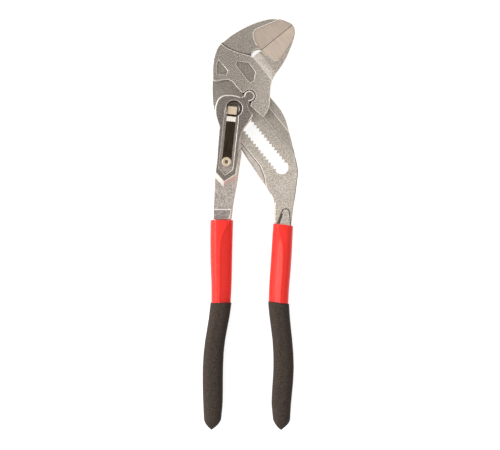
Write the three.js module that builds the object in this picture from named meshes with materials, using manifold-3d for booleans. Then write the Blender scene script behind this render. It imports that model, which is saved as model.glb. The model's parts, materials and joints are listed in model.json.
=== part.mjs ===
// Parallel-jaw pliers wrench, lying flat: +Y runs from the handles to the jaws, +Z is the front side.
// Millimetres. Plan points are measured from a datum in the middle of the pivot.
import * as THREE from 'three';
import { mergeVertices } from 'three/addons/utils/BufferGeometryUtils.js';
import Module from 'manifold-3d';

const wasm = await Module();
wasm.setup();

// Layers: a web in the middle and a forked cheek on either side of it.
const WEB_THICKNESS = 6;
const CHEEK_THICKNESS = 4.2;
const RUNNING_GAP = 0.3;
const EDGE_BEVEL = 0.45;

// Jaws: u runs along the jaw faces, v is the direction in which the lower jaw opens.
const JAW_TILT = 39;
const JAW_FACE_V = -17.2;
const JAW_TIP_U = 60.1;
const JAW_DROP = 1.8;
const JAW_BEVEL = 0.6;
const GROUND_DEPTH = 0.9;
const GUIDE_EDGE_U = 22;
const COVE_START_U = 28.7;
const COVE_WIDTH = 6;
const POCKET_DEPTH = 1.2;

// Guide groove in the arm and the rib of the sliding jaw that runs in it.
const GROOVE_START_U = 11.6;
const GROOVE_WIDTH = 5.7;
const GROOVE_DEPTH = 1;
const RIB_START_V = -30;
const RIB_LENGTH = 24;

// Toothed slot of the arm; the bolt axis lies on its centre line.
const BOLT_AXIS_U = 0.5;
const SLOT_WIDTH = 6.4;
const TOOTH_PITCH = 2.45;
const TOOTH_DEPTH = 1.1;
const TOOTH_COUNT = 18;
const SLOT_END_V = 45.7;
const ARM_WALL = 5.2;
const ARM_FLANGE = 4.1;
const FLANGE_DROP = 1.3;

// Lever: round lobe that pushes the sliding jaw, bore for the bush and channel for the leaf spring.
const LOBE_OFFSET = 12.5;
const LOBE_RADIUS = 3.3;
const LOBE_CLEARANCE = 0.6;
const BORE_RADIUS = 5;
const LEVER_STEP = 2.3;
const CROTCH_U = -16.5;
const CHANNEL_DEPTH = 2.4;
const CHANNEL_HALF_WIDTH = 4.2;
const CHANNEL_LENGTH = 36.5;
const CHANNEL_POINT = 3.6;
const CHANNEL_LEAN = 6.2;
const CHANNEL_OFFSET = -0.7;
const PANEL_TOP = 61.2;
const SHANK_BEVEL_WIDTH = 1.15;
const SHANK_BEVEL_DROP = 0.9;
const BOSS_SLOPE_WIDTH = 1.6;

// Bolt and button.
const BOLT_TOP_BELOW_FRONT = 3.3;
const BUTTON_RECESS = 0.6;
const BUTTON_LENGTH = 2.6;
const SPIGOT_RADIUS = 1.8;
const SPIGOT_LENGTH = 1.6;
const NOTCH_LENGTH = 3.2;
const NOTCH_DEPTH = 0.8;
const DISH_WIDTH = 2.4;
const DISH_DEPTH = 0.8;

// Leaf spring and its screw.
const SPRING_HALF_WIDTH = 2.8;
const SPRING_THICKNESS = 0.7;
const SPRING_HUMP = 1.3;
const PAD_START = -1.6;
const PAD_END = 3.1;
const FLAT_LENGTH = 8;
const SCREW_DISTANCE = 32.2;
const SCREW_HEAD_RADIUS = 2.9;
const SCREW_HEAD_HEIGHT = 1.3;
const SCREW_SHANK_RADIUS = 1.3;
const SCREW_HEAD_BEVEL = 0.4;
const SCREW_LIFT = 0.6;
const SCREW_SEAT = 6;
const SOCKET_RADIUS = 1.3;
const SOCKET_DEPTH = 0.9;

// Handles: distances down from the bolt axis, and the grip sleeves over the steel cores.
const HANDLE_REACH = 194.9;
const LEFT_GRIP_TOP = 67.2;
const RIGHT_GRIP_TOP = 70;
const GRIP_JOINT = 117.3;
const GRIP_DEPTH = 15;
const INNER_GRIP_STEP = 0.45;
const GRIP_LAP = 4;
const LAP_STEP = 1;
const CORE_DEPTH = 9.5;
const LEFT_CORE_HALF = 5.5;
const RIGHT_CORE_HALF = 5;
const CORE_END_HALF = 3.2;
const CORE_END = 182;
const GRIP_GAP = 0.3;
const GRIP_MOUTH_SLOPE = -0.106;
const CORE_RUN_IN = 2;
const TONGUE_LENGTH = 3;
const TIP_LENGTH = 7.8;
const TIP_END_HALF = 0.5;

const TOTAL_THICKNESS = WEB_THICKNESS + 2 * (CHEEK_THICKNESS + RUNNING_GAP);
const MID_Z = TOTAL_THICKNESS / 2;
const WEB_BOTTOM = CHEEK_THICKNESS + RUNNING_GAP;
const WEB_TOP = WEB_BOTTOM + WEB_THICKNESS;
const CHEEK_FLOOR = WEB_TOP + RUNNING_GAP;
const JAW_TOP = TOTAL_THICKNESS - JAW_DROP;
const LEVER_TOP = TOTAL_THICKNESS - LEVER_STEP;
const CHANNEL_FLOOR = TOTAL_THICKNESS - CHANNEL_DEPTH;
const BOLT_RADIUS = SLOT_WIDTH / 2 - RUNNING_GAP;
const BUSH_RADIUS = BORE_RADIUS - RUNNING_GAP;
const BUSH_BORE = BOLT_RADIUS + RUNNING_GAP;
const BOLT_TOP = TOTAL_THICKNESS - BOLT_TOP_BELOW_FRONT;
const SLOT_HALF = SLOT_WIDTH / 2;
const SLOT_ROOT = SLOT_HALF + TOOTH_DEPTH;
const CORE_FRONT = MID_Z + CORE_DEPTH / 2;
const shankEnd = LEFT_GRIP_TOP - GRIP_GAP;
const springRest = CHANNEL_FLOOR + RUNNING_GAP + SPRING_THICKNESS;
const screwHeadBottom = springRest + SCREW_LIFT;
const screwBottom = LEVER_TOP - SCREW_SEAT;
const BEYOND = 60;

const tilt = THREE.MathUtils.degToRad(JAW_TILT);
const xy = (x, y) => new THREE.Vector2(x, y);
const uv = (u, v) => xy(
  u * Math.cos(tilt) + v * Math.sin(tilt),
  u * Math.sin(tilt) - v * Math.cos(tilt),
);
const boltAxis = uv(BOLT_AXIS_U, 0);

// Materials
const steel = new THREE.MeshStandardMaterial({ color: 0x9c9894, roughness: 0.42, metalness: 0.9 });
const plateSteel = new THREE.MeshStandardMaterial({ color: 0x85817d, roughness: 0.45, metalness: 0.9 });
const darkSteel = new THREE.MeshStandardMaterial({ color: 0x3b3733, roughness: 0.4, metalness: 0.9 });
const springSteel = new THREE.MeshStandardMaterial({ color: 0x6f6048, roughness: 0.25, metalness: 1 });
const screwSteel = new THREE.MeshStandardMaterial({ color: 0xc8b48c, roughness: 0.3, metalness: 1 });
const redPlastic = new THREE.MeshStandardMaterial({ color: 0xd9221f, roughness: 0.3, metalness: 0 });
const blackPlastic = new THREE.MeshStandardMaterial({ color: 0x2b2b2c, roughness: 0.75, metalness: 0 });

// Solids
function solidOf(geometry) {
  const bare = geometry.clone();
  bare.deleteAttribute('normal');
  bare.deleteAttribute('uv');
  const merged = mergeVertices(bare, 1e-4);
  return new wasm.Manifold(new wasm.Mesh({
    numProp: 3,
    vertProperties: new Float32Array(merged.attributes.position.array),
    triVerts: new Uint32Array(merged.index.array),
  }));
}

function meshOf(name, solid, material) {
  const { vertProperties, triVerts } = solid.getMesh();
  const geometry = new THREE.BufferGeometry();
  geometry.setAttribute('position', new THREE.BufferAttribute(new Float32Array(vertProperties), 3));
  geometry.setIndex(new THREE.BufferAttribute(new Uint32Array(triVerts), 1));
  geometry.computeVertexNormals();
  const mesh = new THREE.Mesh(geometry, material);
  mesh.name = name;
  return mesh;
}

const union = (first, ...rest) => rest.reduce((sum, solid) => sum.add(solid), first);
const cut = (body, ...tools) => tools.reduce((left, tool) => left.subtract(tool), body);

// Outlines are lists of plan points; a smooth stretch is a spline through its few points.
const corners = (place, points) => points.map(([a, b]) => place(a, b));
const smooth = (place, points, steps = 3) =>
  new THREE.SplineCurve(corners(place, points)).getPoints(steps * (points.length - 1));

function arc(u, v, radius, from, to, steps) {
  const points = [];
  for (let i = 0; i <= steps; i += 1) {
    const angle = THREE.MathUtils.degToRad(from + ((to - from) * i) / steps);
    points.push(uv(u + radius * Math.cos(angle), v + radius * Math.sin(angle)));
  }
  return points;
}

function prism(points, bottom, top, bevel = 0) {
  const geometry = new THREE.ExtrudeGeometry(new THREE.Shape(points), {
    depth: top - bottom - 2 * bevel,
    bevelEnabled: bevel > 0,
    bevelThickness: bevel,
    bevelSize: bevel,
    bevelOffset: -bevel,
    bevelSegments: 1,
  });
  return solidOf(geometry.translate(0, 0, bottom + bevel));
}

// The same prism at the front and mirrored at the rear.
const onBothSides = (points, bottom, top, bevel = 0) => [
  prism(points, bottom, top, bevel),
  prism(points, TOTAL_THICKNESS - top, TOTAL_THICKNESS - bottom, bevel),
];

function rod(radius, bottom, top, at = boltAxis, sides = 32) {
  const geometry = new THREE.CylinderGeometry(radius, radius, top - bottom, sides);
  return solidOf(geometry.rotateX(Math.PI / 2).translate(at.x, at.y, (top + bottom) / 2));
}

// Round piece from (radius, z) points.
function turned(profile, at = boltAxis, sides = 32) {
  const points = profile.map(([radius, z]) => xy(radius, z));
  const geometry = new THREE.LatheGeometry(points, sides);
  return solidOf(geometry.rotateX(Math.PI / 2).translate(at.x, at.y, 0));
}

// A profile of (across, z) points swept along a straight plan line; across points to the line's right.
function swept(profile, from, to) {
  const shape = new THREE.Shape(profile.map(([across, z]) => xy(across, z)));
  const geometry = new THREE.ExtrudeGeometry(shape, { depth: from.distanceTo(to), bevelEnabled: false });
  const along = to.clone().sub(from).normalize();
  const frame = new THREE.Matrix4().makeBasis(
    new THREE.Vector3(along.y, -along.x, 0),
    new THREE.Vector3(0, 0, 1),
    new THREE.Vector3(-along.x, -along.y, 0),
  );
  frame.setPosition(to.x, to.y, 0);
  return solidOf(geometry.applyMatrix4(frame));
}

// Cuts that slope the edge to the right of a line, at the front and at the rear
function edgeSlopes(from, to, width, drop, top) {
  const outside = 3 * width;
  const lowest = top - (drop * (width + outside)) / width;
  const slope = [[-width, top], [-width, top + drop], [outside, top + drop], [outside, lowest]];
  const mirrored = slope.map(([across, z]) => [across, TOTAL_THICKNESS - z]).reverse();
  return [swept(slope, from, to), swept(mirrored, from, to)];
}

const uvBox = (u0, u1, v0, v1) => corners(uv, [[u0, v0], [u1, v0], [u1, v1], [u0, v1]]);

// Outlines of the head
const HEAD_LEFT = [[1.3, -21.7], [6.4, -28], [11.3, -32.4], [15.8, -35], [19.2, -35.8]];
const HEAD_BACK = [
  [19.2, -35.8], [26.2, -35.9], [34, -35], [42.1, -33],
  [48.5, -30.5], [53.3, -27.7], [57, -23.7], [59.6, -19.1],
];
const PLATE_TOP = [[19.2, -35.8], [19.7, -32.9], [20.8, -30], [23.4, -25.4], [27.9, -18.9]];
const fixedFace = JAW_FACE_V - RUNNING_GAP / 2;
const slidingFace = JAW_FACE_V + RUNNING_GAP / 2;
const NOTCH = [[36, fixedFace], [34.6, -19], [32, -19.9], [29.6, -19.4]];
const headBack = smooth(uv, HEAD_BACK);
const notch = smooth(uv, NOTCH);

// Region of both jaws that is ground flat
const GROUND_BACK = [[57, -24.5], [52.9, -25.6], [46, -27.6], [40.6, -29.1]];
const GROUND_ROOT = [[38.6, -28.4], [36.6, -25.6], [35.4, -21], [35.4, JAW_FACE_V]];
const GROUND_BELLY = [[36, -13.4], [37.8, -7.8], [39.7, -6.4], [44.4, -7], [54.6, -10.5], [58.4, -13.6]];
const GROUND_TIP = [[JAW_TIP_U + 2, -15.5], [JAW_TIP_U + 2, -20]];
const groundFlat = [
  ...smooth(uv, GROUND_BACK, 2),
  ...smooth(uv, GROUND_ROOT, 2),
  ...smooth(uv, GROUND_BELLY, 2),
  ...corners(uv, GROUND_TIP),
];
const groundCuts = onBothSides(groundFlat, JAW_TOP - GROUND_DEPTH, TOTAL_THICKNESS + 1);

// Fixed jaw, slotted arm and right handle core
const GUIDE_END_V = 18;
const ARM_RIGHT = [[20.6, 24.9], [16.8, 33.7], [11.4, 45.3], [7.1, 53.4], [3.2, 57.6]];
const RIGHT_SHANK_OUTSIDE = [[37.6, -51.7], [36.3, -60], [35.5, -67]];
const RIGHT_SHANK_INSIDE = [[24.4, -69], [24.5, -56.4], [24.3, -53.9]];
const ARM_LEFT_FOOT = [[22.6, -51.2], [19.8, -46.8], [18.8, -41]];
const NECK_LEFT = [[-4.4, -8.7], [-8.6, -6], [-11.4, -1], [-12.5, 6], [-12.7, 13]];
const FLANGE_EDGE = [[2, 18], [0.6, 30], [-0.8, 45]];
const FLANGE_FOOT = [[19.7, -46.8], [22.4, -51.4], [25, -50], [21, -42]];
const BOSS_LEFT = [[26.4, -69.3], [28.6, -63], [29.8, -60.8]];
const BOSS_TOP = [[29.8, -60.8], [31.6, -60.1], [33.5, -60.8], [34.3, -63]];
const BOSS_RIGHT = [[34.8, -69]];
const NOTCH_LIP_U = 28.4;
const RIGHT_TOP_X = 30.15;
const ARM_START_V = 8;
const ARM_END_V = 37;
const armLeftU = BOLT_AXIS_U - SLOT_ROOT - ARM_WALL;
const coreSide = (side) => RIGHT_TOP_X + side * RIGHT_CORE_HALF;

function webOutline() {
  const lip = fixedFace - RUNNING_GAP;
  const shoulder = -RIGHT_GRIP_TOP + GRIP_GAP;
  const tongueEnd = -RIGHT_GRIP_TOP - TONGUE_LENGTH;
  const rightCorner = xy(coreSide(1), shoulder);
  return [
    ...smooth(uv, HEAD_LEFT),
    ...headBack.slice(1),
    uv(JAW_TIP_U, fixedFace),
    ...notch,
    ...corners(uv, [[NOTCH_LIP_U, lip], [GUIDE_EDGE_U, lip]]),
    ...smooth(uv, [[GUIDE_EDGE_U, GUIDE_END_V], ...ARM_RIGHT]),
    ...smooth(xy, RIGHT_SHANK_OUTSIDE, 2),
    rightCorner,
    ...corners(xy, [[coreSide(1), tongueEnd], [coreSide(-1), tongueEnd]]),
    ...corners(xy, [[coreSide(-1), RIGHT_SHANK_INSIDE[0][1]], ...RIGHT_SHANK_INSIDE]),
    ...smooth(xy, ARM_LEFT_FOOT, 2),
    ...corners(uv, [[armLeftU, ARM_END_V], [armLeftU, ARM_START_V]]),
    ...smooth(xy, NECK_LEFT, 2),
  ];
}

function flangeOutline() {
  const flangeU = armLeftU - ARM_FLANGE;
  const inside = armLeftU + 1;
  return [
    uv(inside, ARM_START_V),
    ...FLANGE_EDGE.map(([out, v]) => uv(flangeU + out, v)),
    ...corners(xy, FLANGE_FOOT),
    uv(inside, ARM_END_V - 1),
  ];
}

function bossOutline() {
  const end = -RIGHT_GRIP_TOP - TONGUE_LENGTH;
  return [
    xy(BOSS_LEFT[0][0], end),
    ...corners(xy, BOSS_LEFT.slice(0, -1)),
    ...smooth(xy, BOSS_TOP, 2),
    ...corners(xy, BOSS_RIGHT),
    xy(BOSS_RIGHT[0][0], end),
  ];
}

function fixedJawOutline() {
  const clear = RUNNING_GAP + 0.1;
  const plateTop = PLATE_TOP.map(([u, v]) => [u + clear, v - clear / 2]);
  return [
    ...headBack.slice(1),
    uv(JAW_TIP_U, fixedFace),
    ...notch,
    ...smooth(uv, plateTop).reverse().slice(1),
  ];
}

// Straight slot with pointed teeth along both sides and round ends
function toothedSlot() {
  const firstTooth = SLOT_END_V - TOOTH_COUNT * TOOTH_PITCH;
  const sideOf = (sign) => {
    const points = [];
    for (let i = 0; i < TOOTH_COUNT; i += 1) {
      const v = firstTooth + i * TOOTH_PITCH;
      points.push(uv(BOLT_AXIS_U + sign * SLOT_ROOT, v + TOOTH_PITCH * 0.1));
      points.push(uv(BOLT_AXIS_U + sign * SLOT_HALF, v + TOOTH_PITCH * 0.45));
      points.push(uv(BOLT_AXIS_U + sign * SLOT_HALF, v + TOOTH_PITCH * 0.6));
      points.push(uv(BOLT_AXIS_U + sign * SLOT_ROOT, v + TOOTH_PITCH * 0.9));
    }
    return points;
  };
  const startV = Math.min(firstTooth, SLOT_HALF - BUSH_RADIUS - RUNNING_GAP);
  return [
    ...sideOf(1),
    ...arc(BOLT_AXIS_U, SLOT_END_V, SLOT_ROOT, 0, 180, 12),
    ...sideOf(-1).reverse(),
    ...arc(BOLT_AXIS_U, startV, SLOT_ROOT, 180, 360, 12),
  ];
}

// Groove with one sloped side, run along the opening direction
function grooveCut(front) {
  const grooveStart = RIB_START_V - 2;
  const grooveLength = SLOT_END_V - grooveStart + BEYOND / 4;
  const face = front ? WEB_TOP : WEB_BOTTOM;
  const side = front ? 1 : -1;
  const floor = face - side * GROOVE_DEPTH;
  const above = face + side * 2;
  const profile = [
    [GROOVE_START_U - 1.2, above], [GROOVE_START_U - 1.2, face], [GROOVE_START_U, floor],
    [GROOVE_START_U + GROOVE_WIDTH, floor], [GROOVE_START_U + GROOVE_WIDTH, above],
  ];
  return alongOpening(profile, grooveStart, grooveLength);
}

// A (u, z) profile swept along v
function alongOpening(profile, startV, length) {
  const shape = new THREE.Shape(profile.map(([u, z]) => xy(u, z)));
  const geometry = new THREE.ExtrudeGeometry(shape, { depth: length, bevelEnabled: false });
  const along = uv(1, 0);
  const opening = uv(0, 1);
  const start = uv(0, startV);
  const frame = new THREE.Matrix4().makeBasis(
    new THREE.Vector3(along.x, along.y, 0),
    new THREE.Vector3(0, 0, 1),
    new THREE.Vector3(opening.x, opening.y, 0),
  );
  frame.setPosition(start.x, start.y, 0);
  return solidOf(geometry.applyMatrix4(frame));
}

// Handles: axis x and grip half width against distance down the handle
function curveThrough(points) {
  const times = points.map(([distance]) => distance);
  const values = points.map(([, value]) => value);
  const fit = new THREE.CubicInterpolant(times, values, 1, new Float64Array(1));
  return (distance) => fit.evaluate(distance)[0];
}

const share = (fraction) => GRIP_JOINT + fraction * (HANDLE_REACH - GRIP_JOINT);
const coreHalfFrom = (topHalf, gripTop) => curveThrough([
  [0, topHalf], [gripTop + 4, topHalf], [GRIP_JOINT, CORE_END_HALF + 0.3],
  [CORE_END, CORE_END_HALF], [HANDLE_REACH, CORE_END_HALF],
]);
const LEFT_MIDDLE = 89;
const RIGHT_MIDDLE = 91.5;
const HANDLE_START = 55;
const LAP_REACH = 140;
const LEFT_AXIS = [
  [HANDLE_START, -6.6], [LEFT_GRIP_TOP, -7.1], [LEFT_MIDDLE, -7.45], [GRIP_JOINT, -7.6],
  [share(0.14), -9], [share(0.28), -11], [share(0.43), -12.25], [share(0.6), -12.6],
  [share(0.8), -12.5], [share(0.92), -12.8], [share(1), -13.4],
];
const LEFT_INNER_HALF = [
  [HANDLE_START, 7.1], [LEFT_GRIP_TOP, 7], [LEFT_MIDDLE, 6.75], [GRIP_JOINT, 5.95], [LAP_REACH, 5.6],
];
const RIGHT_AXIS = [
  [HANDLE_START, 30.8], [RIGHT_GRIP_TOP, RIGHT_TOP_X], [RIGHT_MIDDLE, 29], [GRIP_JOINT, 27.4],
  [share(0.14), 28.3], [share(0.28), 29.6], [share(0.43), 30.4], [share(0.55), 30.4],
  [share(0.67), 29.7], [share(0.8), 29], [share(0.92), 29.1], [share(1), 28.6],
];
const RIGHT_INNER_HALF = [
  [HANDLE_START, 6.1], [RIGHT_GRIP_TOP, 6.15], [RIGHT_MIDDLE, 6.3], [GRIP_JOINT, 6.05], [LAP_REACH, 5.8],
];
const OUTER_HALF = [
  [share(-0.3), 6.4], [share(0), 6.45], [share(0.27), 6.15], [share(0.52), 6.25], [share(0.68), 6.2],
  [share(0.8), 5.95], [share(0.9), 5.4], [share(1), 5],
];
const LEFT = {
  top: LEFT_GRIP_TOP,
  coreStart: shankEnd - CORE_RUN_IN,
  slope: 0,
  coreHalf: coreHalfFrom(LEFT_CORE_HALF, LEFT_GRIP_TOP),
  axis: curveThrough(LEFT_AXIS),
  innerHalf: curveThrough(LEFT_INNER_HALF),
};
const RIGHT = {
  top: RIGHT_GRIP_TOP,
  coreStart: RIGHT_GRIP_TOP + 0.7,
  slope: GRIP_MOUTH_SLOPE,
  coreHalf: coreHalfFrom(RIGHT_CORE_HALF, RIGHT_GRIP_TOP),
  axis: curveThrough(RIGHT_AXIS),
  innerHalf: curveThrough(RIGHT_INNER_HALF),
};
const outerHalf = curveThrough(OUTER_HALF);

// Bar of superellipse sections along a handle; a section is { at, half, depth }.
const SECTION_SIDES = 20;

function bar(handle, sections, roundness) {
  const positions = [];
  const indices = [];
  const power = 2 / roundness;
  const rounded = (value) => Math.sign(value) * Math.abs(value) ** power;
  sections.forEach(({ at, half, depth }) => {
    const middle = handle.axis(at);
    for (let i = 0; i < SECTION_SIDES; i += 1) {
      const angle = (2 * Math.PI * (i + 0.5)) / SECTION_SIDES;
      const across = half * rounded(Math.cos(angle));
      const height = (depth / 2) * rounded(Math.sin(angle));
      positions.push(middle + across, -at + handle.slope * across, MID_Z + height);
    }
  });
  for (let ring = 0; ring + 1 < sections.length; ring += 1) {
    for (let i = 0; i < SECTION_SIDES; i += 1) {
      const a = ring * SECTION_SIDES + i;
      const b = ring * SECTION_SIDES + ((i + 1) % SECTION_SIDES);
      indices.push(a, b, a + SECTION_SIDES, b, b + SECTION_SIDES, a + SECTION_SIDES);
    }
  }
  const last = (sections.length - 1) * SECTION_SIDES;
  for (let i = 1; i + 1 < SECTION_SIDES; i += 1) {
    indices.push(0, i + 1, i);
    indices.push(last, last + i, last + i + 1);
  }
  const geometry = new THREE.BufferGeometry();
  geometry.setAttribute('position', new THREE.BufferAttribute(new Float32Array(positions), 3));
  geometry.setIndex(indices);
  return solidOf(geometry);
}

function steps(from, to, count) {
  return Array.from({ length: count + 1 }, (_, i) => from + ((to - from) * i) / count);
}

const CORE_ROUNDNESS = 6;
const GRIP_ROUNDNESS = 2.7;

function core(handle, grow = 0, from = handle.coreStart) {
  const sections = steps(from, CORE_END + grow, 9).map((at) => ({
    at, half: handle.coreHalf(at) + grow, depth: CORE_DEPTH + 2 * grow,
  }));
  return bar(handle, sections, CORE_ROUNDNESS);
}

function innerGrip(name, handle) {
  const depth = GRIP_DEPTH - 2 * INNER_GRIP_STEP;
  const shoulder = GRIP_JOINT - GRIP_GAP;
  const sections = steps(handle.top, shoulder, 5).map((at) => ({ at, half: handle.innerHalf(at), depth }));
  const neck = [shoulder + 0.01, GRIP_JOINT + GRIP_LAP].map((at) => ({
    at, half: handle.innerHalf(at) - LAP_STEP, depth: depth - 2 * LAP_STEP,
  }));
  const outside = bar(handle, [...sections, ...neck], GRIP_ROUNDNESS);
  return meshOf(name, cut(outside, core(handle, GRIP_GAP, handle.top - 2)), redPlastic);
}

function outerGrip(name, handle) {
  const tipStart = HANDLE_REACH - TIP_LENGTH;
  const sleeve = steps(GRIP_JOINT, tipStart, 9).map((at) => ({ at, half: outerHalf(at), depth: GRIP_DEPTH }));
  const tip = [0.25, 0.5, 0.7, 0.86].map((along) => {
    const scale = 1 - along ** 2;
    return {
      at: tipStart + TIP_LENGTH * along, half: outerHalf(tipStart) * scale, depth: GRIP_DEPTH * scale,
    };
  });
  const end = { at: HANDLE_REACH, half: TIP_END_HALF, depth: 2 * TIP_END_HALF };
  const mouth = [GRIP_JOINT - 1, GRIP_JOINT + GRIP_LAP + GRIP_GAP].map((at) => ({
    at,
    half: handle.innerHalf(at) - LAP_STEP + GRIP_GAP,
    depth: GRIP_DEPTH - 2 * (INNER_GRIP_STEP + LAP_STEP - GRIP_GAP),
  }));
  const outside = bar(handle, [...sleeve, ...tip, end], GRIP_ROUNDNESS);
  const cavity = core(handle, GRIP_GAP, GRIP_JOINT - 1);
  return meshOf(name, cut(outside, cavity, bar(handle, mouth, GRIP_ROUNDNESS)), blackPlastic);
}

function fixedJawLeg() {
  const web = prism(webOutline(), WEB_BOTTOM, WEB_TOP);
  const flangeBevel = FLANGE_DROP / 2;
  const flange = prism(flangeOutline(), WEB_BOTTOM + FLANGE_DROP, WEB_TOP - FLANGE_DROP, flangeBevel);
  const jaw = prism(fixedJawOutline(), TOTAL_THICKNESS - JAW_TOP, JAW_TOP, JAW_BEVEL);
  const bossBlock = prism(bossOutline(), TOTAL_THICKNESS - CORE_FRONT, CORE_FRONT, JAW_BEVEL);
  const [bossFoot, bossShoulder] = corners(xy, BOSS_LEFT);
  const bossSlopes = edgeSlopes(bossShoulder, bossFoot, BOSS_SLOPE_WIDTH, CORE_FRONT - WEB_TOP, CORE_FRONT);
  const boss = cut(bossBlock, ...bossSlopes);
  const [shankFoot, shankTop] = corners(xy, RIGHT_SHANK_INSIDE);
  const shankSlopes = edgeSlopes(shankTop, shankFoot, SHANK_BEVEL_WIDTH, SHANK_BEVEL_DROP, WEB_TOP);
  const slot = prism(toothedSlot(), 0, TOTAL_THICKNESS);
  const arm = cut(union(web, flange), ...shankSlopes);
  const body = union(arm, jaw, boss, core(RIGHT));
  return meshOf('fixed_jaw_leg', cut(body, slot, grooveCut(true), grooveCut(false), ...groundCuts), steel);
}

// Sliding jaw
const JAW_BELLY = [
  [60, -15.6], [58.8, -13.2], [56.2, -10.8], [50.8, -7.4], [44.6, -4.2], [38.6, -2],
  [33.3, -0.6], [29, 1.5], [25.6, 4.3], [21.9, 8.4], [18.1, 12.2], [14.1, 14.6],
];
const PLATE_TOE = [[10.8, 15.2], [9.2, 5.4], [10, 4.4]];
const PLATE_WAIST = [[10, -4.4], [9.8, -13.6]];
const PLATE_HEEL = [[8.6, -15.9], [5.2, -18.1], [2.7, -19.2], [1.5, -20.4]];
const POCKET_TRIANGLE = [[-9, 29.4], [-3.4, 23], [-4.4, 20.7], [-9.7, 20.9], [-10.2, 22], [-10.2, 26]];
const POCKET_POLYGON = [
  [2.4, 28.8], [9, 28], [13.3, 22.4], [12.2, 17.2], [10.4, 16.1], [8.4, 17.8], [1.5, 26.8],
];

function slidingJawOutline() {
  const socket = LOBE_RADIUS + LOBE_CLEARANCE;
  return [
    ...smooth(uv, PLATE_TOP),
    uv(COVE_START_U, slidingFace),
    uv(JAW_TIP_U, slidingFace),
    ...smooth(uv, JAW_BELLY),
    ...corners(uv, PLATE_TOE),
    ...arc(LOBE_OFFSET, 0, socket, 108, -108, 12),
    ...corners(uv, PLATE_WAIST),
    ...smooth(uv, PLATE_HEEL, 2),
    ...smooth(uv, HEAD_LEFT).slice(0, -1),
  ];
}

function coveCut(front) {
  const level = (z) => (front ? z : TOTAL_THICKNESS - z);
  const above = TOTAL_THICKNESS + JAW_DROP;
  const outside = JAW_TIP_U + COVE_WIDTH;
  const profile = [[COVE_START_U, above], [COVE_START_U, TOTAL_THICKNESS]];
  const count = 6;
  for (let i = 1; i <= count; i += 1) {
    const along = i / count;
    const drop = JAW_DROP * Math.sqrt(1 - (1 - along) ** 2);
    profile.push([COVE_START_U + COVE_WIDTH * along, TOTAL_THICKNESS - drop]);
  }
  profile.push([outside, JAW_TOP], [outside, above]);
  return alongOpening(profile.map(([u, z]) => [u, level(z)]), -BEYOND, 2 * BEYOND);
}

function pockets() {
  return [POCKET_TRIANGLE, POCKET_POLYGON].flatMap((points) =>
    onBothSides(corners(xy, points), TOTAL_THICKNESS - POCKET_DEPTH, TOTAL_THICKNESS + POCKET_DEPTH));
}

function slidingJaw() {
  const body = prism(slidingJawOutline(), 0, TOTAL_THICKNESS, EDGE_BEVEL);
  const guideFace = GUIDE_EDGE_U + RUNNING_GAP;
  const cavity = prism(uvBox(-BEYOND, guideFace, -BEYOND, BEYOND), CHEEK_THICKNESS, CHEEK_FLOOR);
  const headRoom = prism(uvBox(0, COVE_START_U, -BEYOND, slidingFace), CHEEK_THICKNESS, CHEEK_FLOOR);
  const ribStart = GROOVE_START_U + RUNNING_GAP;
  const ribEnd = ribStart + GROOVE_WIDTH - 2 * RUNNING_GAP;
  const rib = uvBox(ribStart, ribEnd, RIB_START_V, RIB_START_V + RIB_LENGTH);
  const ribs = onBothSides(rib, CHEEK_FLOOR - GROOVE_DEPTH, CHEEK_FLOOR + CHEEK_THICKNESS / 2);
  const hollow = cut(body, cavity, headRoom, coveCut(true), coveCut(false), ...groundCuts, ...pockets());
  return meshOf('sliding_jaw', union(hollow, ...ribs), plateSteel);
}

// Lever
const LEVER_FOOT = [[-10.9, -38.4], [-5.7, -44.2], [1.5, -39.5]];
const LEVER_LEFT = [
  [-10, -24.3], [-9.1, -13.2], [-8.9, -10.6], [-10.6, -5.6], [-11.2, 0], [-9.7, 5.4], [-6.6, 8.1],
  [-2.5, 8.7], [1.6, 8.2], [5, 7.1],
];
const LOBE_WAIST = [[9, 3], [9, 1], [10.2, -1.2], [12, -3.1]];
const LEVER_RIGHT = [[11.6, -4.9], [8, -9.5], [5.6, -13.4], [4.3, -18.5], [3.4, -28], [2.6, -35.4]];
const BODY_TOP = [[4.4, -20], [-9.7, -20]];
const BODY_LEFT = [[-11.7, -41.4], [-12.2, -53], [-12.4, -60.8]];
const BODY_RIGHT = [[0, -57.3], [1.2, -50.6], [2.5, -43.5], [4.9, -26.2]];
const BODY_END = [-12.3, -1.2];
const SHANK_EDGE = [[-1.25, -68], [5, -25]];
const PANEL_CORNER = [[-1.8, -PANEL_TOP], [-2.1, -64], [-2.9, -65.8]];
const PANEL_END_X = -4.6;
const FOOT_BASE = [[2.4, -30], [-9.9, -30]];

function leverPlateOutline() {
  return [
    ...corners(xy, [LEVER_FOOT[1], LEVER_FOOT[0]]),
    ...smooth(xy, LEVER_LEFT),
    ...arc(LOBE_OFFSET, 0, LOBE_RADIUS, -140, 130, 14),
    ...smooth(xy, LOBE_WAIST, 2),
    ...smooth(xy, LEVER_RIGHT, 2),
    xy(...LEVER_FOOT[2]),
  ];
}

function leverBodyOutline() {
  const [left, right] = BODY_END.map((x) => xy(x, -shankEnd));
  return [
    ...corners(xy, [...BODY_TOP, LEVER_FOOT[0]]),
    ...smooth(xy, BODY_LEFT, 2),
    left,
    right,
    ...smooth(xy, BODY_RIGHT, 2),
  ];
}

// Inset above the grip, flush with the handle core
function panelOutline() {
  const below = -LEFT_GRIP_TOP;
  return [
    ...corners(xy, [[-BEYOND, below], [-BEYOND, -PANEL_TOP], ...PANEL_CORNER]),
    xy(PANEL_END_X, below),
  ];
}

// Plan point on the spring's axis, a distance below the bolt and a distance to the right of that axis
const lean = THREE.MathUtils.degToRad(CHANNEL_LEAN);
const channelPoint = (across, down) => xy(
  CHANNEL_OFFSET + across * Math.cos(lean) - down * Math.sin(lean),
  -across * Math.sin(lean) - down * Math.cos(lean),
);

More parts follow.
